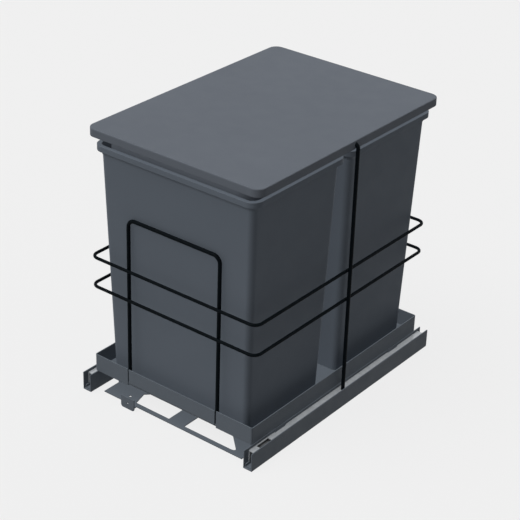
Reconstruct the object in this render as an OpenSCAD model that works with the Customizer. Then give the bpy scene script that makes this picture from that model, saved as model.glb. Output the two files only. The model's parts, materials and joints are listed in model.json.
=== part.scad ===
// Pull out trash cabinet unit: a wire and sheet steel carriage on ball
// bearing floor slides, carrying two open bins side by side in depth under
// one loose lid. Millimetres, +Z up, front of the unit towards -Y.
// The floor of the cabinet is z = 0 and the unit is centred on x = 0, y = 0.

/* [Floor channels] */
// Width over the outer faces of both floor channels
base_width = 341; // [300:1:400]
// Length of the floor channels, front to back
channel_length = 468; // [400:1:560]
// Height of the channel walls
channel_height = 31; // [26:0.5:40]
// Outside width of one channel
channel_width = 16; // [15.5:0.1:24]
// Thickness of the sheet steel in channels, plates and tray
sheet = 1.5; // [1:0.1:2]

/* [Slide rails] */
// Side gap between a rail and the channel wall
rail_side_gap = 0.3; // [0.25:0.05:1]
// Wall thickness of the fixed and the top rail
rail_wall = 1.6; // [1.2:0.1:2]
// Base thickness of the fixed rail
fixed_base = 1.2; // [1:0.1:1.6]
// Height of the fixed rail
fixed_height = 5.5; // [5:0.1:6.5]
// Difference in length between a channel and its fixed rail
fixed_short = 6; // [1:1:60]
// Air between the fixed rail and the top rail above it
rail_step = 0.5; // [0.3:0.1:1]
// Drop of the top rail below the channel's upper edge
rail_sink = 4; // [3:0.1:6]
// Difference in length between a channel and its top rail
top_short = 18; // [10:1:60]
// Set back of the top rail's middle behind the centre
top_set_back = 1; // [0:0.5:2]
// Difference in length between the top rail and the middle rail
middle_short = 10; // [4:1:40]
// Wall thickness of the middle rail
middle_wall = 1.4; // [1.2:0.1:1.6]
// Air between the middle rail and each outer rail
track_gap = 1.7; // [1.5:0.1:2]
// Radius of a bearing ball
ball_r = 1.2; // [1.1:0.05:1.4]
// Running clearance of a ball in its groove or cage hole
ball_play = 0.05; // [0.03:0.01:0.08]
// Sheet thickness of the ball cages
cage_sheet = 0.6; // [0.4:0.05:0.7]
// Air above and below the flat of a ball cage
cage_air = 0.35; // [0.3:0.05:0.5]
// Difference in length between half a top rail and a ball cage
cage_short = 25; // [15:1:60]
// Balls in one row
balls_per_row = 6; // [4:1:8]
// Width of the access slot in the top rail
rail_slot_width = 8; // [5:0.5:9]
// Length of the access slot in the top rail
rail_slot_length = 27.5; // [20:0.5:35]
// Distance from the rail's front end to the slot
rail_slot_inset = 15.5; // [8:0.5:30]

/* [Rail rivets and stops] */
// Radius of the flush rivets that hold the fixed rails
rivet_r = 2; // [1.5:0.1:2.5]
// Spacing of the flush rivets
rivet_pitch = 120; // [80:1:150]
// Gap between a closed top rail and its rubber stop
stop_gap = 1; // [0.5:0.5:3]
// Thickness of the rubber stop behind each rail
stop_thickness = 6; // [4:0.5:7]
// Height of the rubber stop
stop_height = 14; // [8:0.5:18]

/* [Front and rear plates] */
// Distance of the plates' narrow front from each side of the unit
plate_set_in = 31; // [22:1:50]
// Distance of the plate's front edge from the channel ends
plate_inset = 15; // [10:0.5:25]
// Depth of each plate, front to back
plate_depth = 89; // [80:1:110]
// Length of the narrow front part of the plate
plate_neck = 33; // [25:1:40]
// Height of the turned up side flanges
flange_height = 12; // [8:0.5:20]
// Radius of the cabinet floor screw holes
screw_hole_r = 2.5; // [2:0.1:3.5]
// Distance of the floor screw holes from each side of the unit
screw_set_in = 45.5; // [40:0.5:60]
// Distance of the floor screw holes behind the plate's front edge
screw_set_back = 69; // [60:1:76]
// Radius of the small round hole in the front plate
pilot_r = 2.2; // [1.5:0.1:4]

/* [Front lug] */
// Width of the upright lug in front of the plate
lug_width = 27; // [22:0.5:36]
// Height of the lug
lug_height = 20.5; // [16:0.5:26]
// Radius of the lug's lower corners
lug_corner = 4; // [2:0.5:6]
// Radius of the lug's upper corners
lug_top_corner = 1; // [0.5:0.5:3]
// Sideways distance of the lug from the middle
lug_offset = 79; // [60:1:90]
// Distance of the lug's front face in front of the plate
lug_reach = 12; // [6:0.5:14]
// Width of the tongue that joins lug and plate
tongue_width = 16; // [10:0.5:20]
// Radius of the hole in the lug
lug_hole_r = 2; // [1.5:0.1:3]

/* [Tray] */
// Distance of the tray's walls from each side of the unit
tray_set_in = 13; // [11.5:0.5:20]
// Distance of the tray's front face from the channels' front ends
tray_front_gap = 15; // [14:0.5:30]
// Distance of the tray's rear face from the channels' rear ends
tray_rear_gap = 19.5; // [14:0.5:30]
// Height of the tray, floor underside to rim
tray_height = 29.3; // [20:0.1:45]
// Outside radius of the tray's upright corners
tray_corner = 3; // [2:0.5:6]
// Width of the forward flap in the tray's front
flap_width = 172.5; // [140:0.5:200]
// Slot at each side of the flap
flap_slot = 2.5; // [1.5:0.1:4]
// Distance of the flap's face in front of the tray's front
flap_offset = 0.5; // [0.2:0.1:4]
// Outside radius of the bend between the tray's floor and the flap
flap_bend = 6; // [3:0.5:8]

/* [Cross bars and screws] */
// Air between the channel walls and the cross bars
bar_air = 0.9; // [0.6:0.1:2]
// Thickness of the cross bars
bar_thickness = 1.8; // [1.5:0.1:2.5]
// Width of the cross bars
bar_width = 25; // [18:0.5:35]
// Distance of each cross bar from the channels' ends
bar_from_end = 84; // [60:1:120]
// Distance of the bar's bent end from the channel wall
bar_end_gap = 0.6; // [0.4:0.1:1.3]
// Radius of a tray screw's head
screw_head_r = 4; // [3:0.1:5]
// Height of a tray screw's head
screw_head_height = 2.2; // [1.5:0.1:3]
// Radius of a tray screw's shank
screw_r = 1.75; // [1.5:0.05:2]
// Length of a tray screw's shank
screw_length = 8; // [6:0.5:12]
// Distance of the tray screws from the tray's side
screw_inset = 11.5; // [8:0.5:13]

/* [Wire frame] */
// Diameter of the hoops and of the lid arch
hoop_wire = 6; // [5:0.5:6.5]
// Diameter of the two loops round the bins
loop_wire = 5; // [4:0.5:5.5]
// Depth that welded wires sink into each other
weld = 0.2; // [0.1:0.05:0.4]
// Height of the front hoop's bar above the cabinet floor
front_hoop_top = 321.6; // [270:0.1:350]
// Height of the rear hoop's bar above the cabinet floor
rear_hoop_top = 248; // [245:0.5:340]
// Bend radius of the hoops
hoop_bend = 12; // [10:0.5:16]
// Bend radius of the lid arch
arch_bend = 6; // [5:0.5:12]
// Height of the lower loop above the cabinet floor
loop_low = 187.5; // [120:0.5:200]
// Height between the two loops
loop_step = 50; // [30:0.5:55]
// Bend radius of the loops
loop_bend = 13; // [10:0.5:25]
// Distance of the arch legs from the rail's outer edge
arch_inset = 0.5; // [0:0.1:1]

/* [Bins] */
// Distance of the bins' rims from each side of the unit
bin_set_in = 18.5; // [16.5:0.5:40]
// Distance of the bins' rims from the channels' front and rear ends
bin_end_gap = 12.5; // [12:0.5:30]
// Gap between the two rims, where the arch passes
bin_gap = 8; // [7.5:0.5:14]
// Height of a bin
bin_height = 390.9; // [370:0.1:450]
// Wall thickness of a bin
bin_wall = 2; // [1.6:0.1:3]
// Floor thickness of a bin
bin_floor = 2.5; // [2:0.1:4]
// Air between a bin and the tray floor
bin_air = 0.2; // [0.1:0.1:0.5]
// Narrowing of each side of a bin from top to bottom
bin_draft = 10; // [5:0.5:16]
// Narrowing of the front and back of a bin
bin_draft_depth = 12; // [6:0.5:16]
// Height of the rim's outer band
rim_band = 8.5; // [6:0.1:14]
// Distance the rim stands out from the wall
rim_reach = 8; // [6:0.5:12]
// Corner radius of the rim
rim_corner = 18; // [14:0.5:26]
// Width of the flat top of the rim
rim_flat = 7; // [4:0.1:9]
// Height of the sloping lead in under the rim's flat
rim_lead = 12; // [6:0.5:14]
// Small step where the rim's hollow curve meets the wall
cove_step = 0.5; // [0.3:0.1:0.8]

/* [Lid] */
// Overhang of the lid over the bins' rims, at the sides
lid_lip_side = 9.5; // [5:0.5:10]
// Overhang of the lid over the bins' rims, front and back
lid_lip_end = 2.5; // [0:0.5:6]
// Height of the lid's edge
lid_edge = 13; // [9:0.5:18]
// Corner radius of the lid
lid_corner = 15.5; // [10:0.5:24]
// Rounding of the lid's upper edge
lid_round = 1.6; // [1:0.1:2.4]
// Thickness of the lid's top
lid_skin = 3; // [2.5:0.1:4]
// Thickness of the lid's outer wall
lid_wall = 2.5; // [2:0.1:4]
// Air between the bins' rims and the lid's edge
lid_air = 12.7; // [8:0.1:16]
// Wall thickness of the rings that drop into the bins
plug_wall = 2; // [1.5:0.1:3]
// Distance the rings reach below the lid's edge
plug_drop = 19; // [15:0.5:24]
// Distance of the ring inside the rim, at the sides
plug_inset_side = 13; // [10:0.5:20]
// Distance of the ring inside the rim, front and back
plug_inset_end = 9.5; // [9.5:0.5:14]
// Corner radius of the rings
plug_corner = 30; // [20:1:45]
// Thickness of the ribs under the lid
rib = 2; // [1.5:0.1:3]
// Height of the ribs under the lid
rib_height = 8; // [5:0.5:9]
// Spacing of the ribs under the lid
rib_pitch = 62; // [50:1:72]
// Length of each saddle on the arch, front to back
saddle_length = 16; // [13:0.5:18]
// Thickness of a saddle
saddle_thickness = 5; // [3:0.5:8]
// Clearance of the lid's notches and saddles on the arch wire
saddle_play = 0.05; // [0.02:0.01:0.1]

/* [Hidden] */
$fn = 48;
facets = 32;
over = 1;
full_turn = 360;
steel = [0.28, 0.30, 0.33];
zinc = [0.68, 0.69, 0.70];
dark_wire = [0.10, 0.11, 0.13];
plastic = [0.34, 0.36, 0.39];
bin_plastic = [0.25, 0.27, 0.30];
rubber = [0.06, 0.06, 0.06];

// Levels, from the cabinet floor up
fixed_top = sheet + fixed_height;
top_under = fixed_top + rail_step;
top_over = channel_height - rail_sink;
flange_under = top_over - rail_wall;
middle_low = sheet + fixed_base + cage_air + cage_sheet + cage_air;
middle_high = flange_under - cage_air - cage_sheet - cage_air;
low_ball_z = (middle_low + fixed_top) / 2;
high_ball_share = 0.49;
high_ball_z = top_under + high_ball_share * (top_over - top_under);
bar_under = channel_height + bar_air;
tray_under = bar_under + bar_thickness;
tray_top = tray_under + tray_height;
tray_floor = tray_under + sheet;
bin_under = tray_floor + bin_air;
rim_top = bin_under + bin_height;
lid_under = rim_top + lid_air;
lid_top = lid_under + lid_edge;
lid_inside = lid_top - lid_skin;
arch_z = lid_inside - hoop_wire / 2;
rib_under = lid_inside - rib_height;

// Stations across the width
rail_x = base_width / 2 - channel_width / 2;
rail_half = channel_width / 2 - sheet - rail_side_gap;
rail_inner = rail_half - rail_wall;
middle_half = rail_inner - track_gap;
track_mid = (rail_inner + middle_half) / 2;
groove_r = ball_r + ball_play;
arch_x = rail_x + rail_half - hoop_wire / 2 - arch_inset;
wire_step = hoop_wire / 2 + loop_wire / 2 - weld;
loop_x = arch_x - wire_step;
channel_inner_face = base_width / 2 - channel_width;
plate_front_width = base_width - 2 * plate_set_in;
screw_hole_across = base_width - 2 * screw_set_in;
tray_width = base_width - 2 * tray_set_in;
hoop_width = flap_width + flap_slot;
bin_width = base_width - 2 * bin_set_in;
lid_width = bin_width + 2 * lid_lip_side;

// Lengths along the depth
fixed_length = channel_length - fixed_short;
top_length = channel_length - top_short;
middle_length = top_length - middle_short;
cage_length = top_length / 2 - cage_short;
bin_depth = (channel_length - bin_gap) / 2 - bin_end_gap;
lid_depth = 2 * bin_depth + bin_gap + 2 * lid_lip_end;

// Stations along the depth
tray_front = channel_length / 2 - tray_front_gap;
tray_rear = channel_length / 2 - tray_rear_gap;
flap_face = tray_front + flap_offset;
bar_offset = channel_length / 2 - bar_from_end;
leg_reach = sqrt(pow(hoop_wire / 2, 2) - pow(flap_slot / 2, 2)) - weld / 2;
front_hoop_y = -(tray_front - sheet - leg_reach);
rear_hoop_y = tray_rear + hoop_wire / 2 - weld / 2;
loop_front = front_hoop_y - wire_step;
loop_rear = rear_hoop_y - wire_step;
plate_front = channel_length / 2 - plate_inset;
plate_back = plate_front - plate_depth;
neck_back = plate_front - plate_neck;
screw_hole_along = 2 * (plate_front - screw_set_back);
stop_front = top_set_back + top_length / 2 + stop_gap;
bin_mid = bin_gap / 2 + bin_depth / 2;

// A flat rounded rectangle, centred
module rounded(w, d, r) {
  square([w - 2 * r, d], center = true);
  square([w, d - 2 * r], center = true);
  for (sx = [-1, 1]) {
    for (sy = [-1, 1]) {
      translate([sx * (w / 2 - r), sy * (d / 2 - r)])
        circle(r);
    }
  }
}

// A block standing on z, centred on x and y
module slab(w, d, h) {
  translate([-w / 2, -d / 2, 0])
    cube([w, d, h]);
}

// A block between two corners
module span(lo, hi) {
  translate(lo)
    cube(hi - lo);
}

// A copy on each side, left and right
module both_sides() {
  children();
  mirror([1, 0, 0])
    children();
}

// A profile led round a rounded rectangle; its x starts at the corner centre
module led_round(w, d, r) {
  half_w = w / 2 - r;
  half_d = d / 2 - r;
  for (turn = [0, 1]) {
    rotate([0, 0, turn * full_turn / 2]) {
      translate([half_w, half_d, 0])
        rotate_extrude(angle = full_turn / 4)
          children();
      translate([-half_w, half_d, 0])
        rotate([0, 0, full_turn / 4])
          rotate_extrude(angle = full_turn / 4)
            children();
      translate([half_w, half_d, 0])
        rotate([full_turn / 4, 0, 0])
          linear_extrude(2 * half_d)
            children();
      translate([-half_w, half_d, 0])
        rotate([full_turn / 4, 0, full_turn / 4])
          linear_extrude(2 * half_w)
            children();
    }
  }
}

// A quarter of a bend, from +X towards +Z
module bend(bend_r, wire_r) {
  rotate([full_turn / 4, 0, 0])
    rotate_extrude(angle = full_turn / 4)
      translate([bend_r, 0])
        circle(wire_r);
}

// An upright wire hoop with two legs, in the plane y = 0
module hoop(across, foot, top, bend_r, wire) {
  both_sides() {
    translate([across / 2, 0, foot])
      cylinder(h = top - bend_r - foot, r = wire / 2);
    translate([across / 2 - bend_r, 0, top - bend_r])
      bend(bend_r, wire / 2);
  }
  translate([-(across / 2 - bend_r), 0, top])
    rotate([0, full_turn / 4, 0])
      cylinder(h = across - 2 * bend_r, r = wire / 2);
}

// A flat wire loop with four bends
module loop(height) {
  depth = loop_rear - loop_front;
  translate([0, (loop_rear + loop_front) / 2, height])
    led_round(2 * loop_x, depth, loop_bend)
      translate([loop_bend, 0])
        circle(loop_wire / 2);
}

// A floor channel, open at the top and at both ends
module channel() {
  color(steel)
    translate([rail_x, 0, 0])
      difference() {
        slab(channel_width, channel_length, channel_height);
        translate([0, 0, sheet])
          slab(channel_width - 2 * sheet, channel_length + over,
            channel_height);
        rivet_places()
          cylinder(h = channel_height, r = rivet_r, center = true);
      }
}

module rivet_places() {
  for (step = [-1, 0, 1]) {
    translate([0, step * rivet_pitch, 0])
      children();
  }
}

// Ball grooves along both sides of a track
module grooves(height, length) {
  both_sides()
    translate([track_mid, length / 2, height])
      rotate([full_turn / 4, 0, 0])
        cylinder(h = length, r = groove_r);
}

module fixed_rail() {
  color(steel)
    translate([rail_x, 0, 0])
      difference() {
        translate([0, 0, sheet])
          slab(2 * rail_half, fixed_length, fixed_height);
        translate([0, 0, sheet + fixed_base])
          slab(2 * rail_inner, fixed_length + over, fixed_height);
        grooves(low_ball_z, fixed_length + over);
        rivet_places()
          cylinder(h = channel_height, r = rivet_r, center = true);
      }
}

module middle_rail() {
  color(zinc)
    translate([rail_x, 0, 0])
      difference() {
        translate([0, 0, middle_low])
          slab(2 * middle_half, middle_length, middle_high - middle_low);
        translate([0, 0, middle_low - over])
          slab(2 * (middle_half - middle_wall), middle_length + over,
            middle_high - middle_low - middle_wall + over);
        grooves(low_ball_z, middle_length + over);
        grooves(high_ball_z, middle_length + over);
      }
}

module top_rail() {
  slot_y = -top_length / 2 + rail_slot_inset;
  color(zinc)
    translate([rail_x, top_set_back, 0])
      difference() {
        translate([0, 0, top_under])
          slab(2 * rail_half, top_length, top_over - top_under);
        translate([0, 0, top_under - over])
          slab(2 * rail_inner, top_length + over,
            flange_under - top_under + over);
        grooves(high_ball_z, top_length + over);
        span([-rail_slot_width / 2, slot_y, flange_under - over],
          [rail_slot_width / 2, slot_y + rail_slot_length, top_over + over]);
        span([-rail_slot_width / 2, -slot_y - rail_slot_length,
          flange_under - over],
          [rail_slot_width / 2, -slot_y, top_over + over]);
      }
}

// Where the balls of one row sit
function ball_y(i) = (i - (balls_per_row - 1) / 2)
  * cage_length / (balls_per_row + 0.5);

module balls(height, shift) {
  color(zinc)
    translate([rail_x, shift, height])
      both_sides()
        for (i = [0:balls_per_row - 1]) {
          translate([track_mid, ball_y(i), 0])
            sphere(ball_r);
        }
}

// A bent cage strip with a hole for each ball
module cage(low, high, height, bridge_low, shift) {
  color(zinc)
    translate([rail_x, shift, 0])
      difference() {
        union() {
          both_sides()
            span([track_mid - cage_sheet / 2, -cage_length / 2, low],
              [track_mid + cage_sheet / 2, cage_length / 2, high]);
          translate([0, 0, bridge_low])
            slab(2 * track_mid + cage_sheet, cage_length, cage_sheet);
        }
        for (i = [0:balls_per_row - 1]) {
          translate([0, ball_y(i), height])
            rotate([0, full_turn / 4, 0])
              cylinder(h = channel_width, r = groove_r, center = true);
        }
      }
}

module lower_cage() {
  bridge = sheet + fixed_base + cage_air;
  cage(bridge, fixed_top, low_ball_z, bridge, 0);
}

module upper_cage() {
  bridge = flange_under - cage_air - cage_sheet;
  cage(high_ball_z - 2 * track_mid / 2, bridge + cage_sheet, high_ball_z,
    bridge, top_set_back);
}

// Flush rivets through the fixed rails and the channel floors
module rail_rivets() {
  color(zinc)
    both_sides()
      translate([rail_x, 0, 0])
        rivet_places()
          cylinder(h = sheet + fixed_base, r = rivet_r);
}

// Rubber blocks on the fixed rails, behind the top rails
module rear_stops() {
  color(rubber)
    both_sides()
      translate([rail_x, 0, 0])
        span([-channel_width / 2 + sheet, stop_front, fixed_top],
          [channel_width / 2 - sheet, stop_front + stop_thickness,
            fixed_top + stop_height]);
}

// Corner points of the openings, as shares of the plate's half width and
// of its depth behind the front edge
left_cut_shares = [[-0.566, 0.09], [-0.079, 0.09], [-0.079, 0.607],
  [-0.473, 0.607], [-0.616, 0.382]];
right_cut_shares = [[0.143, 0.09], [0.80, 0.09], [0.832, 0.097],
  [0.850, 0.118], [0.846, 0.148], [0.832, 0.168], [0.538, 0.607],
  [0.143, 0.607]];
rear_cut_shares = [[-0.60, 0.12], [0.60, 0.12], [0.60, 0.607],
  [-0.60, 0.607]];

function plate_points(shares) = [for (p = shares)
  [p[0] * plate_front_width / 2, -plate_front + p[1] * plate_depth]];

// A floor plate with its side flanges, drawn for the front of the unit
module floor_plate(cuts) {
  half = plate_front_width / 2;
  flare = channel_inner_face - half;
  difference() {
    linear_extrude(sheet)
      difference() {
        polygon([[-half, -plate_front], [half, -plate_front],
          [half, -neck_back], [channel_inner_face, -neck_back + flare],
          [channel_inner_face, -plate_back],
          [-channel_inner_face, -plate_back],
          [-channel_inner_face, -neck_back + flare], [-half, -neck_back]]);
        for (shares = cuts) {
          polygon(plate_points(shares));
        }
      }
    both_sides()
      translate([screw_hole_across / 2, -screw_hole_along / 2, 0])
        cylinder(h = channel_height, r = screw_hole_r, center = true);
  }
  both_sides()
    span([channel_inner_face - sheet, -neck_back + flare, 0],
      [channel_inner_face, -plate_back, flange_height]);
}

// The lug's outline, with larger corners below than above
module lug_outline() {
  translate([0, lug_height / 2])
    rounded(lug_width, lug_height, lug_corner);
  translate([0, lug_height * 3 / 4])
    rounded(lug_width, lug_height / 2, lug_top_corner);
}

module front_plate() {
  pilot_share = 0.18;
  pilot_side_share = 0.706;
  lug_back = -plate_front - lug_reach + sheet;
  color(steel)
    difference() {
      union() {
        floor_plate([left_cut_shares, right_cut_shares]);
        span([-lug_offset - tongue_width / 2, lug_back - sheet / 2, 0],
          [-lug_offset + tongue_width / 2, -plate_front + sheet, sheet]);
        translate([-lug_offset, lug_back, 0])
          rotate([full_turn / 4, 0, 0])
            linear_extrude(sheet)
              lug_outline();
      }
      translate([-lug_offset, lug_back + over, lug_height / 2])
        rotate([full_turn / 4, 0, 0])
          cylinder(h = sheet + 2 * over, r = lug_hole_r);
      translate([-pilot_side_share * plate_front_width / 2,
        -plate_front + pilot_share * plate_depth, 0])
        cylinder(h = channel_height, r = pilot_r, center = true);
    }
}

module rear_plate() {
  color(steel)
    mirror([0, 1, 0])
      floor_plate([rear_cut_shares]);
}

// A strip across both rails with its ends bent down onto them
module cross_bar(shift) {
  end = base_width / 2 - channel_width + sheet + bar_end_gap + sheet;
  color(zinc)
    translate([0, shift, 0])
      difference() {
        union() {
          translate([0, 0, bar_under])
            slab(2 * end, bar_width, bar_thickness);
          both_sides()
            span([end - sheet, -bar_width / 2, top_over],
              [end, bar_width / 2, bar_under + bar_thickness]);
        }
        both_sides()
          translate([tray_width / 2 - screw_inset, 0, 0])
            cylinder(h = tray_top, r = screw_r);
      }
}

module screw_places() {
  both_sides()
    for (sy = [-1, 1]) {
      translate([tray_width / 2 - screw_inset, sy * bar_offset, 0])
        children();
    }
}

module tray_screws() {
  color(zinc)
    screw_places() {
      translate([0, 0, tray_floor])
        cylinder(h = screw_head_height, r = screw_head_r);
      translate([0, 0, tray_floor - screw_length])
        cylinder(h = screw_length, r = screw_r);
    }
}

// The tray's floor led forward and bent up in front of its walls
module flap() {
  bend_y = -flap_face + flap_bend;
  bend_z = tray_under + flap_bend;
  span([-flap_width / 2, bend_y, tray_under],
    [flap_width / 2, -tray_front + flap_bend, tray_floor]);
  span([-flap_width / 2, -flap_face, bend_z],
    [flap_width / 2, -flap_face + sheet, tray_top]);
  translate([-flap_width / 2, bend_y, bend_z])
    rotate([full_turn / 4, 0, full_turn / 4])
      linear_extrude(flap_width)
        difference() {
          circle(flap_bend);
          circle(flap_bend - sheet);
          translate([0, -2 * flap_bend])
            square(4 * flap_bend);
          translate([-2 * flap_bend, 0])
            square(4 * flap_bend);
        }
}

module tray() {
  depth = tray_front + tray_rear;
  mid = (tray_rear - tray_front) / 2;
  cut_back = max(-tray_front + sheet, -flap_face + flap_bend);
  color(steel)
    difference() {
      union() {
        difference() {
          translate([0, mid, tray_under])
            linear_extrude(tray_height)
              rounded(tray_width, depth, tray_corner);
          translate([0, mid, tray_floor])
            linear_extrude(tray_height)
              rounded(tray_width - 2 * sheet, depth - 2 * sheet,
                tray_corner - sheet);
          span([-flap_width / 2 - flap_slot, -tray_front - over,
            tray_under - over],
            [flap_width / 2 + flap_slot, cut_back, tray_top + over]);
        }
        flap();
      }
      screw_places()
        cylinder(h = tray_top, r = screw_r);
    }
}

module front_hoop() {
  color(dark_wire)
    translate([0, front_hoop_y, 0])
      hoop(hoop_width, tray_under + flap_bend, front_hoop_top, hoop_bend,
        hoop_wire);
}

module rear_hoop() {
  color(dark_wire)
    translate([0, rear_hoop_y, 0])
      hoop(hoop_width, tray_under, rear_hoop_top, hoop_bend, hoop_wire);
}

module lid_arch() {
  color(dark_wire)
    hoop(2 * arch_x, top_over, arch_z, arch_bend, hoop_wire);
}

// The body of a bin between two levels, narrowing downwards
module bin_block(inset, low, high) {
  corner = rim_corner - rim_reach - inset;
  hull() {
    translate([0, 0, high - over])
      bin_slice(bin_width - 2 * rim_reach - 2 * inset,
        bin_depth - 2 * rim_reach - 2 * inset, corner);
    translate([0, 0, low])
      bin_slice(bin_width - 2 * rim_reach - 2 * bin_draft - 2 * inset,
        bin_depth - 2 * rim_reach - 2 * bin_draft_depth - 2 * inset, corner);
  }
}

module bin_slice(w, d, r) {
  linear_extrude(over)
    rounded(w, d, r, $fn = facets);
}

// The rim's cross section from its inner edge to its outer band
module rim_profile() {
  wall_at = rim_corner - rim_reach;
  cove_r = rim_reach - cove_step;
  difference() {
    translate([wall_at - 2 * bin_wall, -rim_band - cove_r])
      square([rim_reach + 2 * bin_wall, rim_band + cove_r]);
    translate([rim_corner, -rim_band - cove_r])
      circle(cove_r);
  }
}

// A bin centred on y = 0
module bin() {
  mouth_w = bin_width - 2 * rim_flat;
  mouth_d = bin_depth - 2 * rim_flat;
  lead_w = bin_width - 2 * rim_reach - 2 * bin_wall - 2 * cove_step;
  lead_d = bin_depth - 2 * rim_reach - 2 * bin_wall - 2 * cove_step;
  difference() {
    union() {
      bin_block(0, bin_under, rim_top - rim_flat / 2);
      translate([0, 0, rim_top])
        led_round(bin_width, bin_depth, rim_corner)
          rim_profile();
    }
    bin_block(bin_wall, bin_under + bin_floor, rim_top + over);
    hull() {
      translate([0, 0, rim_top])
        bin_slice(mouth_w, mouth_d, rim_corner - rim_flat);
      translate([0, 0, rim_top - rim_lead])
        bin_slice(lead_w, lead_d, rim_corner - rim_reach - bin_wall);
    }
  }
}

module front_bin() {
  color(bin_plastic)
    translate([0, -bin_mid, 0])
      bin();
}

module rear_bin() {
  color(bin_plastic)
    mirror([0, 1, 0])
      translate([0, -bin_mid, 0])
        bin();
}

// The lid's edge band with its rounded upper edge
module lid_band() {
  difference() {
    square([lid_corner, lid_edge]);
    translate([lid_corner - lid_round, lid_edge - lid_round])
      difference() {
        square(lid_round + over);
        circle(lid_round);
      }
  }
}

// The rings under the lid that drop into the bins' mouths
module lid_plugs() {
  w = bin_width - 2 * plug_inset_side;
  d = bin_depth - 2 * plug_inset_end;
  for (sy = [-1, 1]) {
    translate([0, sy * bin_mid, lid_under - plug_drop])
      linear_extrude(lid_inside - lid_under + plug_drop + lid_skin / 2)
        difference() {
          rounded(w, d, plug_corner);
          rounded(w - 2 * plug_wall, d - 2 * plug_wall,
            plug_corner - plug_wall);
        }
  }
}

module lid_ribs() {
  height = rib_height + lid_skin / 2;
  width = lid_width - 2 * lid_wall + over;
  for (step = [-2:2]) {
    translate([step * rib_pitch, 0, rib_under])
      slab(rib, lid_depth - 2 * lid_wall + over, height);
  }
  for (step = [-3, -2, -1, 1, 2, 3]) {
    translate([0, step * rib_pitch, rib_under])
      slab(width, rib, height);
  }
}

// Thick blocks between the ribs that straddle the arch
module lid_saddles() {
  for (step = [-1.5, -0.5, 0.5, 1.5]) {
    translate([step * rib_pitch, 0, rib_under])
      slab(saddle_thickness, saddle_length, rib_height + lid_skin / 2);
  }
}

// The way for the arch wire, round above and open below
module arch_way() {
  way_r = hoop_wire / 2 + saddle_play;
  way_half = lid_width / 2 + over;
  translate([0, 0, arch_z])
    rotate([0, full_turn / 4, 0])
      cylinder(h = 2 * way_half, r = way_r, center = true);
  span([-way_half, -way_r, lid_under - over], [way_half, way_r, arch_z]);
}

module lid() {
  color(plastic)
    difference() {
      union() {
        difference() {
          translate([0, 0, lid_under]) {
            led_round(lid_width, lid_depth, lid_corner)
              lid_band();
            slab(lid_width - 2 * lid_corner, lid_depth - 2 * lid_corner,
              lid_edge);
          }
          translate([0, 0, lid_under - over])
            linear_extrude(lid_edge - lid_skin + over)
              rounded(lid_width - 2 * lid_wall, lid_depth - 2 * lid_wall,
                lid_corner - lid_wall);
        }
        lid_ribs();
        lid_plugs();
        lid_saddles();
      }
      arch_way();
    }
}

module left() {
  mirror([1, 0, 0])
    children();
}

left() channel();  // left_channel
channel();  // right_channel
front_plate();
rear_plate();
left() fixed_rail();  // left_fixed_rail
fixed_rail();  // right_fixed_rail
rail_rivets();
rear_stops();
left() lower_cage();  // left_lower_cage
lower_cage();  // right_lower_cage
left() balls(low_ball_z, 0);  // left_lower_balls
balls(low_ball_z, 0);  // right_lower_balls
left() middle_rail();  // left_middle_rail
middle_rail();  // right_middle_rail
left() upper_cage();  // left_upper_cage
upper_cage();  // right_upper_cage
left() balls(high_ball_z, top_set_back);  // left_upper_balls
balls(high_ball_z, top_set_back);  // right_upper_balls
left() top_rail();  // left_top_rail
top_rail();  // right_top_rail
cross_bar(-bar_offset);  // front_cross_bar
cross_bar(bar_offset);  // rear_cross_bar
tray();
tray_screws();
front_hoop();
rear_hoop();
loop(loop_low);  // lower_loop
loop(loop_low + loop_step);  // upper_loop
lid_arch();
front_bin();
rear_bin();
lid();
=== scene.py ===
import json
import math
from collections import namedtuple

import bpy
from mathutils import Matrix, Vector


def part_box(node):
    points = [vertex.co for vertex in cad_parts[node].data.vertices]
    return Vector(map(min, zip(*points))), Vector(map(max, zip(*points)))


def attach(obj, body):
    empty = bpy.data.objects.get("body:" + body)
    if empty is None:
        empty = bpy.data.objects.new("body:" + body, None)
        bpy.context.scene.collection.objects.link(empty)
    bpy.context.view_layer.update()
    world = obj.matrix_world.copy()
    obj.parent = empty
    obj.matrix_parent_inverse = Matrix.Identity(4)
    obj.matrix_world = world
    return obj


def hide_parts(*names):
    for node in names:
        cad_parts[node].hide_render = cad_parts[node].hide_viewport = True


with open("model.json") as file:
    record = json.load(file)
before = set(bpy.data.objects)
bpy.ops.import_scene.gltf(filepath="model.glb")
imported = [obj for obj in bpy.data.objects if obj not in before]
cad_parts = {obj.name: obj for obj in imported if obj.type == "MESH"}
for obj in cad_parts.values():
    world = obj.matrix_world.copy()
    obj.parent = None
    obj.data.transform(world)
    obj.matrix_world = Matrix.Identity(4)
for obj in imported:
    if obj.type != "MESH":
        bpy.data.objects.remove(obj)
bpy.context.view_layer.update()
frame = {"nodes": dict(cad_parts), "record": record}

scene = bpy.context.scene

# Lengths are in metres, unless their name or comment gives another unit.

# Camera, fitted to the photograph, whose frame is 520 x 520 pixels
PHOTO_PX = 520.0
FOCAL_PX = 1580.21
SENSOR_MM = 36.0
AZIMUTH = math.radians(37.4967)
ELEVATION = math.radians(28.5192)
ROLL = math.radians(1.8954)
DISTANCE = 2.5762
SIDE_STEP = 0.00069
UP_STEP = 0.17365
NEAREST_SEEN = 0.05
FARTHEST_SEEN = 60.0

# Colours, as linear red, green and blue
GREY_PLASTIC = (0.124, 0.144, 0.171)
LID_PLASTIC = (0.124, 0.139, 0.163)
GREY_COAT = (0.117, 0.135, 0.157)
WIRE_COAT = (0.0012, 0.0024, 0.0034)
ZINC = (0.465, 0.486, 0.507)
POLISHED_STEEL = (0.72, 0.72, 0.73)
# Near black for the ball cages: partly their own colour, partly painted shade inside the slides
DARK_CAGE_AND_PAINTED_SHADE = (0.016, 0.018, 0.020)
RUBBER = (0.018, 0.018, 0.018)
SKY_COLOUR = (1.0, 1.0, 1.0)

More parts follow.
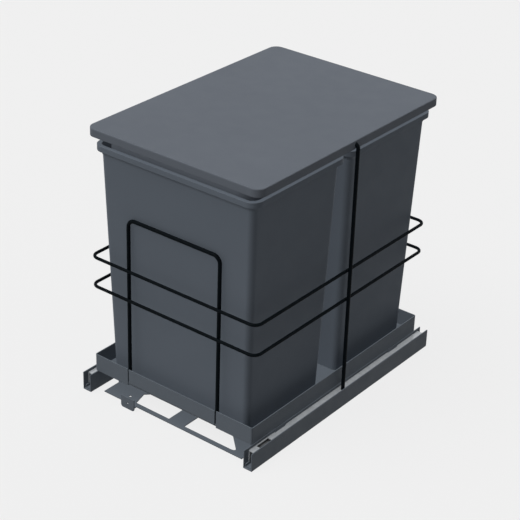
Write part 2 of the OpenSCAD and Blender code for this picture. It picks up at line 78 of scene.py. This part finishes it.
# The floor's grey, as the camera sees it and as it throws light back on the object, and the
# share of what the camera sees that takes real shadow
FLOOR_SEEN = 0.880
FLOOR_BOUNCE = 0.22
SHADOW_SHARE = 0.30

# The floor's size, and how far it lies below the object's feet, so that no two faces coincide
FLOOR_HALF_WIDTH = 30.0
FLOOR_DROP = 0.0004

# How strongly the plastics, coats and rails reflect
PLASTIC_SPECULAR = 0.06
COAT_SPECULAR = 0.08
WIRE_SPECULAR = 0.035
ZINC_METALLIC = 0.35

# The zinc's noise is drawn out along Y, the way the rails run
STREAK_STRETCH = (1.0, 0.03, 1.0)

# Rounding that the shading gives to sharp edges
PLASTIC_EDGE = 0.0009
SHEET_EDGE = 0.0005
RAIL_EDGE = 0.0003
RUBBER_EDGE = 0.0006
EDGE_SAMPLES = 4

# Painted shade: ambient occlusion darkens the base colour where other surfaces within reach close a
# place in.
# The colour falls to the share darkest where its openness is at dark_below, and is the full one from
# clear_above on.
PaintedShade = namedtuple("PaintedShade", "reach darkest dark_below clear_above")
RAIL_PAINTED_SHADE = PaintedShade(0.012, 0.06, 0.15, 0.55)
# The middle rail's painted shade is the deepest, so that it looks dark inside the top rails' slots
MIDDLE_RAIL_PAINTED_SHADE = PaintedShade(0.012, 0.06, 0.60, 0.97)
# The floor plate's painted shade darkens it under the tray
PLATE_PAINTED_SHADE = PaintedShade(0.03, 0.70, 0.15, 0.60)
PAINTED_SHADE_SAMPLES = 8

# The top rails' wall and slots. A slot starts SLOT_INSET from its end of the rail, and the infill
# laps over the slot's edges by SLOT_LAP.
RAIL_WALL = 0.0016
SLOT_WIDTH = 0.008
SLOT_LENGTH = 0.0275
SLOT_INSET = 0.0155
SLOT_LAP = 0.0003

# Looks that nodes with these endings have in the photograph, in place of their slot's own finish
OWN_LOOKS = {
    # The plate, cage and middle rail looks carry painted shade; the cages' near black is partly painted
    # shade too
    "_cross_bar": "coated_sheet",
    "_plate": "floor_plate",
    "_cage": "ball_cage",
    "_middle_rail": "middle_rail",
}

# Lamps. A sun has a name, the direction that its light comes from, its level, its angle in
# degrees and whether it casts shadows. Level 1 shows a face turned to it in its written colour.
SKY_LIGHT = 0.14
SUNS = (
    ("key", (-0.30, -0.38, 0.87), 0.10, 40.0, True),
    ("front_fill", (-0.25, -0.43, 0.80), 0.835, 25.0, False),
    ("right_fill", (1.0, 0.0, 0.05), 0.052, 40.0, False),
    ("back_fill", (0.0, 1.0, 0.05), 0.20, 40.0, False),
)


def make_camera():
    """The photograph's camera, placed by its angles and its distance from the origin."""
    flat = Vector((math.sin(AZIMUTH), -math.cos(AZIMUTH), 0.0))
    back = flat * math.cos(ELEVATION) + Vector((0.0, 0.0, math.sin(ELEVATION)))
    level = Vector((math.cos(AZIMUTH), math.sin(AZIMUTH), 0.0))
    upright = back.cross(level)
    right = level * math.cos(ROLL) + upright * math.sin(ROLL)
    up = upright * math.cos(ROLL) - level * math.sin(ROLL)
    data = bpy.data.cameras.new("photo_camera")
    data.sensor_fit = "HORIZONTAL"
    data.sensor_width = SENSOR_MM
    data.lens = FOCAL_PX / PHOTO_PX * SENSOR_MM
    data.clip_start = NEAREST_SEEN
    data.clip_end = FARTHEST_SEEN
    camera = bpy.data.objects.new("photo_camera", data)
    turn = Matrix((right, up, back)).transposed().to_4x4()
    place = back * DISTANCE + right * SIDE_STEP + up * UP_STEP
    camera.matrix_world = Matrix.Translation(place) @ turn
    scene.collection.objects.link(camera)
    scene.camera = camera


class Tree:
    """A material's node tree, with short calls for what is used often."""

    def __init__(self, name):
        self.material = bpy.data.materials.new(name)
        self.material.use_nodes = True
        self.tree = self.material.node_tree
        self.shader = self.tree.nodes["Principled BSDF"]

    def add(self, kind, **settings):
        node = self.tree.nodes.new(kind)
        for key, value in settings.items():
            setattr(node, key, value)
        return node

    def link(self, source, socket):
        self.tree.links.new(source, socket)

    def feed(self, name, source):
        """Link a source to the shader's socket of that name."""
        self.link(source, self.shader.inputs[name])

    def plain(self, name, value):
        """Set a value that is the same all over on the shader's own socket."""
        self.shader.inputs[name].default_value = value

    def noise(self, scale, detail=2.0, rough=0.5, stretch=(1.0, 1.0, 1.0)):
        """Noise from 0 to 1, in blobs of about a metre divided by scale."""
        place = self.add("ShaderNodeTexCoord")
        mapping = self.add("ShaderNodeMapping")
        mapping.inputs["Scale"].default_value = stretch
        node = self.add("ShaderNodeTexNoise")
        node.inputs["Scale"].default_value = scale
        node.inputs["Detail"].default_value = detail
        node.inputs["Roughness"].default_value = rough
        self.link(place.outputs["Object"], mapping.inputs["Vector"])
        self.link(mapping.outputs["Vector"], node.inputs["Vector"])
        return node.outputs["Fac"]

    def ramp(self, fac, low, high, start=0.35, end=0.65):
        """From low, where fac is at start, to high, where it is at end."""
        node = self.add("ShaderNodeMapRange")
        node.inputs["From Min"].default_value = start
        node.inputs["From Max"].default_value = end
        node.inputs["To Min"].default_value = low
        node.inputs["To Max"].default_value = high
        self.link(fac, node.inputs["Value"])
        return node.outputs["Result"]

    def clouded(self, fac, colour, darkest, palest):
        """The colour, times darkest where fac is low and times palest where it is high."""
        node = self.add("ShaderNodeMix", data_type="RGBA")
        self.link(self.ramp(fac, low=0.0, high=1.0), node.inputs["Factor"])
        for socket, share in (("A", darkest), ("B", palest)):
            node.inputs[socket].default_value = (*(level * share for level in colour), 1.0)
        return node.outputs["Result"]

    def shaded(self, colour, painted_shade):
        """The colour with painted shade, darkened in recesses by ambient occlusion."""
        near = self.add("ShaderNodeAmbientOcclusion", samples=PAINTED_SHADE_SAMPLES)
        near.inputs["Distance"].default_value = painted_shade.reach
        shade = self.ramp(near.outputs["AO"], painted_shade.darkest, 1.0, painted_shade.dark_below, painted_shade.clear_above)
        node = self.add("ShaderNodeMix", data_type="RGBA", blend_type="MULTIPLY")
        node.inputs["Factor"].default_value = 1.0
        self.link(colour, node.inputs["A"])
        self.link(shade, node.inputs["B"])
        return node.outputs["Result"]

    def bump(self, height, strength, distance, before):
        """Bumps laid over the normals that come before them, if any."""
        node = self.add("ShaderNodeBump")
        node.inputs["Strength"].default_value = strength
        node.inputs["Distance"].default_value = distance
        self.link(height, node.inputs["Height"])
        if before:
            self.link(before, node.inputs["Normal"])
        return node.outputs["Normal"]

    def soft_edges(self, radius):
        node = self.add("ShaderNodeBevel", samples=EDGE_SAMPLES)
        node.inputs["Radius"].default_value = radius
        return node.outputs["Normal"]


def moulded_plastic(name, colour):
    """Satin moulded plastic: a fine grain, a slow ripple and slightly uneven gloss."""
    t = Tree(name)
    t.feed("Base Color", t.clouded(t.noise(9.0, detail=3.0), colour, darkest=0.985, palest=1.015))
    t.feed("Roughness", t.ramp(t.noise(38.0, detail=4.0), low=0.52, high=0.60))
    t.plain("Specular IOR Level", PLASTIC_SPECULAR)
    edges = t.soft_edges(PLASTIC_EDGE)
    grain = t.bump(t.noise(2300.0, rough=0.6), strength=0.22, distance=0.0002, before=edges)
    ripple = t.bump(t.noise(14.0, detail=1.0), strength=0.03, distance=0.002, before=grain)
    t.feed("Normal", ripple)
    return t.material


def powder_coat(name, colour, painted_shade=None):
    """Powder coated sheet: a tight orange peel with paler specks and, where it is given one, painted
    shade in its recesses.
    """
    t = Tree(name)
    coat = t.clouded(t.noise(700.0), colour, darkest=0.97, palest=1.05)
    if painted_shade:
        coat = t.shaded(coat, painted_shade)
    t.feed("Base Color", coat)
    t.feed("Roughness", t.ramp(t.noise(60.0, detail=3.0), low=0.44, high=0.54))
    t.plain("Specular IOR Level", COAT_SPECULAR)
    edges = t.soft_edges(SHEET_EDGE)
    peel = t.bump(t.noise(900.0), strength=0.28, distance=0.0003, before=edges)
    grain = t.bump(t.noise(3200.0, detail=1.0), strength=0.18, distance=0.0001, before=peel)
    t.feed("Normal", grain)
    return t.material


def coated_wire(name, colour):
    """Near black plastic coating on steel wire, with less gloss than the sheet's."""
    t = Tree(name)
    t.feed("Base Color", t.clouded(t.noise(160.0, detail=3.0), colour, darkest=1.0, palest=1.5))
    t.feed("Roughness", t.ramp(t.noise(90.0), low=0.56, high=0.66))
    t.plain("Specular IOR Level", WIRE_SPECULAR)
    t.feed("Normal", t.bump(t.noise(650.0), strength=0.22, distance=0.0003, before=None))
    return t.material


def zinc_plate(name, colour, painted_shade=RAIL_PAINTED_SHADE):
    """Zinc on rolled steel: faint streaks along the rail, a clouded sheen and painted shade in its
    recesses.
    """
    t = Tree(name)
    streaks = t.noise(900.0, rough=0.6, stretch=STREAK_STRETCH)
    cloud = t.noise(120.0, detail=4.0, rough=0.6)
    clean = t.clouded(cloud, colour, darkest=0.88, palest=1.06)
    t.feed("Base Color", t.shaded(clean, painted_shade))
    t.feed("Roughness", t.ramp(streaks, low=0.34, high=0.50))
    t.plain("Metallic", ZINC_METALLIC)
    edges = t.soft_edges(RAIL_EDGE)
    t.feed("Normal", t.bump(streaks, strength=0.12, distance=0.0002, before=edges))
    return t.material


def bearing_steel(name, colour):
    """Polished balls with a trace of grease on them."""
    t = Tree(name)
    t.feed("Base Color", t.clouded(t.noise(400.0), colour, darkest=0.86, palest=1.0))
    t.feed("Roughness", t.ramp(t.noise(800.0), low=0.08, high=0.18))
    t.plain("Metallic", 1.0)
    return t.material


def matt_rubber(name, colour):
    """Matt black rubber with a paler bloom."""
    t = Tree(name)
    t.feed("Base Color", t.clouded(t.noise(220.0, detail=3.0), colour, darkest=1.0, palest=1.8))
    t.feed("Roughness", t.ramp(t.noise(300.0), low=0.72, high=0.86))
    edges = t.soft_edges(RUBBER_EDGE)
    t.feed("Normal", t.bump(t.noise(1800.0), strength=0.35, distance=0.0002, before=edges))
    return t.material


def dress_nodes():
    """Give every CAD node the finish of its slot in the record, or the look of its own."""
    looks = {
        "coated_sheet": powder_coat("dark_powder_coat", GREY_COAT),
        # Zinc on the rails and fasteners carries painted shade in its recesses
        "zinc_rail": zinc_plate("zinc_rail", ZINC),
        "ball_steel": bearing_steel("ball_steel", POLISHED_STEEL),
        "fastener_steel": zinc_plate("fastener_zinc", ZINC),
        "stop_rubber": matt_rubber("stop_rubber", RUBBER),
        "coated_wire": coated_wire("near_black_wire", WIRE_COAT),
        "bin_plastic": moulded_plastic("bin_plastic", GREY_PLASTIC),
        "lid_plastic": moulded_plastic("lid_plastic", LID_PLASTIC),
        # The floor plate's coat carries painted shade where the tray stands over it
        "floor_plate": powder_coat("floor_plate_coat_painted_shade", GREY_COAT, PLATE_PAINTED_SHADE),
        # Ball cages: near black partly as their own colour, partly as painted shade inside the slides,
        # with painted shade in recesses
        "ball_cage": zinc_plate("dark_ball_cage_and_painted_shade", DARK_CAGE_AND_PAINTED_SHADE),
        # The middle rail's zinc carries deep painted shade, so that it looks dark inside the top rails'
        # slots
        "middle_rail": zinc_plate("zinc_middle_rail_painted_shade", ZINC, MIDDLE_RAIL_PAINTED_SHADE),
    }
    look_of = {part["node"]: part["material_slot"] for part in frame["record"]["subparts"]}
    for name, piece in frame["nodes"].items():
        for ending, own_look in OWN_LOOKS.items():
            if name.endswith(ending):
                look_of[name] = own_look
        look = looks[look_of[name]]
        if not piece.material_slots:
            piece.data.materials.append(look)
        for slot in piece.material_slots:
            slot.material = look


def box_mesh(name, low, high):
    """A closed box between two corners."""
    corners = [
        (x, y, z)
        for x in (low[0], high[0])
        for y in (low[1], high[1])
        for z in (low[2], high[2])
    ]
    faces = [(0, 1, 3, 2), (4, 6, 7, 5), (0, 4, 5, 1), (2, 3, 7, 6), (0, 2, 6, 4), (1, 5, 7, 3)]
    mesh = bpy.data.meshes.new(name)
    mesh.from_pydata(corners, [], faces)
    return mesh


def close_rear_slot(node):
    """The top rail as the photograph shows it, slotted at its front end only."""
    low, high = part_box(node)
    piece = bpy.data.objects.new(node + "_front_slot", frame["nodes"][node].data.copy())
    middle = (low[0] + high[0]) / 2
    half = SLOT_WIDTH / 2 + SLOT_LAP
    back = high[1] - SLOT_INSET
    infill = bpy.data.objects.new("infill", box_mesh(
        "infill",
        (middle - half, back - SLOT_LENGTH - SLOT_LAP, high[2] - RAIL_WALL),
        (middle + half, back + SLOT_LAP, high[2])))
    for made in (piece, infill):
        scene.collection.objects.link(made)
    union = piece.modifiers.new("close_slot", "BOOLEAN")
    union.operation = "UNION"
    union.solver = "EXACT"
    union.object = infill
    graph = bpy.context.evaluated_depsgraph_get()
    joined = bpy.data.meshes.new_from_object(piece.evaluated_get(graph))
    piece.modifiers.clear()
    piece.data = joined
    bpy.data.objects.remove(infill)
    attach(piece, "carriage")
    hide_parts(node)


def seen_directly(tree):
    """1 for rays from the camera, a reflection or a clear surface, 0 for light that falls on things."""
    path = tree.nodes.new("ShaderNodeLightPath")
    total = path.outputs["Is Camera Ray"]
    for kind in ("Is Glossy Ray", "Is Transmission Ray"):
        either = tree.nodes.new("ShaderNodeMath")
        either.operation = "MAXIMUM"
        tree.links.new(total, either.inputs[0])
        tree.links.new(path.outputs[kind], either.inputs[1])
        total = either.outputs[0]
    return total


def grey_shader(tree, kind, grey):
    """A shader of one plain grey."""
    node = tree.nodes.new(kind)
    node.inputs["Color"].default_value = (grey, grey, grey, 1.0)
    return node.outputs[0]


def blend_shaders(tree, first, second):
    """A mix of two shaders, with the socket that says how much of the second shows."""
    node = tree.nodes.new("ShaderNodeMixShader")
    tree.links.new(first, node.inputs[1])
    tree.links.new(second, node.inputs[2])
    return node.outputs["Shader"], node.inputs["Fac"]


def make_floor():
    """A pale floor whose brightness is its own, with a faint share of real shadow in it."""
    mesh = bpy.data.meshes.new("floor")
    half = FLOOR_HALF_WIDTH
    corners = [(-half, -half, 0.0), (half, -half, 0.0), (half, half, 0.0), (-half, half, 0.0)]
    mesh.from_pydata(corners, [], [(0, 1, 2, 3)])
    floor = bpy.data.objects.new("floor", mesh)
    floor.location.z = -FLOOR_DROP
    scene.collection.objects.link(floor)
    material = bpy.data.materials.new("pale_floor")
    material.use_nodes = True
    tree = material.node_tree
    tree.nodes.remove(tree.nodes["Principled BSDF"])
    glow = grey_shader(tree, "ShaderNodeEmission", FLOOR_SEEN)
    lit = grey_shader(tree, "ShaderNodeBsdfDiffuse", FLOOR_SEEN)
    bounce = grey_shader(tree, "ShaderNodeBsdfDiffuse", FLOOR_BOUNCE)
    seen, shadow_share = blend_shaders(tree, glow, lit)
    shadow_share.default_value = SHADOW_SHARE
    surface, seen_share = blend_shaders(tree, bounce, seen)
    tree.links.new(seen_directly(tree), seen_share)
    tree.links.new(surface, tree.nodes["Material Output"].inputs["Surface"])
    mesh.materials.append(material)


def make_sky():
    """An even sky for light, as pale as the floor where it is seen."""
    world = bpy.data.worlds.new("soft_sky")
    scene.world = world
    world.use_nodes = True
    tree = world.node_tree
    sky = tree.nodes["Background"]
    sky.inputs["Color"].default_value = (*SKY_COLOUR, 1.0)
    strength = tree.nodes.new("ShaderNodeMapRange")
    strength.inputs["To Min"].default_value = SKY_LIGHT
    strength.inputs["To Max"].default_value = FLOOR_SEEN
    tree.links.new(seen_directly(tree), strength.inputs["Value"])
    tree.links.new(strength.outputs["Result"], sky.inputs["Strength"])


def make_sun(name, towards, level, angle, shadow):
    """A sun, from one row of SUNS."""
    data = bpy.data.lights.new(name, "SUN")
    data.energy = level * math.pi
    data.angle = math.radians(angle)
    data.use_shadow = shadow
    lamp = bpy.data.objects.new(name, data)
    lamp.rotation_euler = Vector(towards).to_track_quat("Z", "Y").to_euler()
    scene.collection.objects.link(lamp)


make_camera()
dress_nodes()
for top_rail in ("left_top_rail", "right_top_rail"):
    close_rear_slot(top_rail)
make_floor()
make_sky()
for sun in SUNS:
    make_sun(*sun)
scene.view_settings.view_transform = "Standard"
